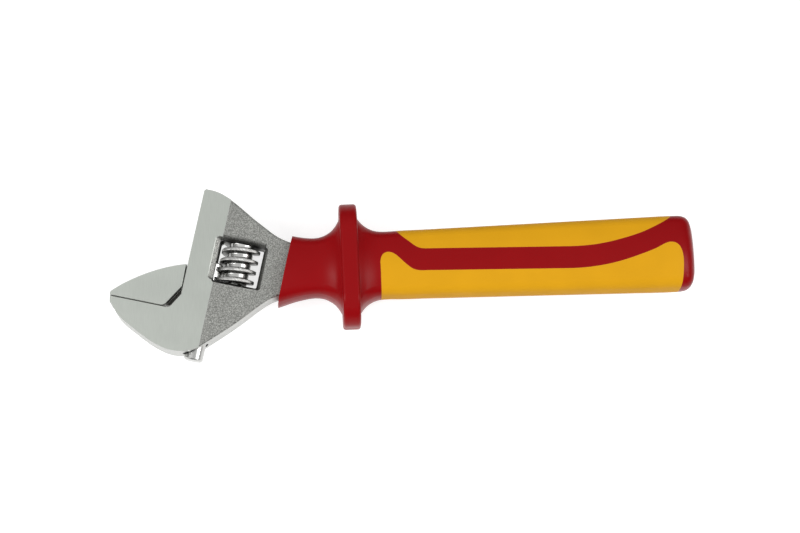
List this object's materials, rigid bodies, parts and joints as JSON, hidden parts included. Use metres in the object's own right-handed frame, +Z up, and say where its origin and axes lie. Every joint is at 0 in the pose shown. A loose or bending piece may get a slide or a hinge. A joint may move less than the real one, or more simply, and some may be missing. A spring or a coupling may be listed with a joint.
{
  "type": "adjustable wrench",
  "caption": "Adjustable wrench with an insulated two-colour handle: a worm in the head slides the movable jaw to fit a nut.",
  "frame": {"origin": "bottom centre of the whole wrench lying on its side, jaws closed", "axes": "+X along the handle toward its butt, +Y across the head toward the opening side, +Z up through the thickness of the head"},
  "size_m": [0.2088, 0.0614, 0.025],
  "materials": {
    "forged_steel": "shot-blasted, jaws ground",
    "ground_steel": "fine ground",
    "worm_steel": "bright, knurled",
    "pin_steel": "turned",
    "spring_steel": "drawn wire",
    "red_plastic": "semi-gloss",
    "yellow_grip": "matte, soft"
  },
  "bodies": {
    "head_and_handle": {"body": "forged_steel", "worm_pin": "pin_steel", "insulating_shell": "red_plastic", "upper_grip_panel": "yellow_grip", "lower_grip_panel": "yellow_grip"},
    "jaw": {"movable_jaw": "ground_steel"},
    "worm_drive": {"worm": "worm_steel", "worm_spring": "spring_steel"}
  },
  "joints": [
    {"name": "jaw_slide", "type": "slide", "parent": "head_and_handle", "child": "jaw", "axis": [0.2419, 0.9703, 0], "range_m": [0, 0.024]},
    {"name": "worm_spin", "type": "hinge", "parent": "head_and_handle", "child": "worm_drive", "pos_m": [-0.0591, 0.00365, 0.0125], "axis": [0.2419, 0.9703, 0], "range_deg": [-2351.4, 0]}
  ],
  "couplings": [
    {"joint": "worm_spin", "follows": "jaw_slide", "rad_per_m": -1709.2}
  ]
}
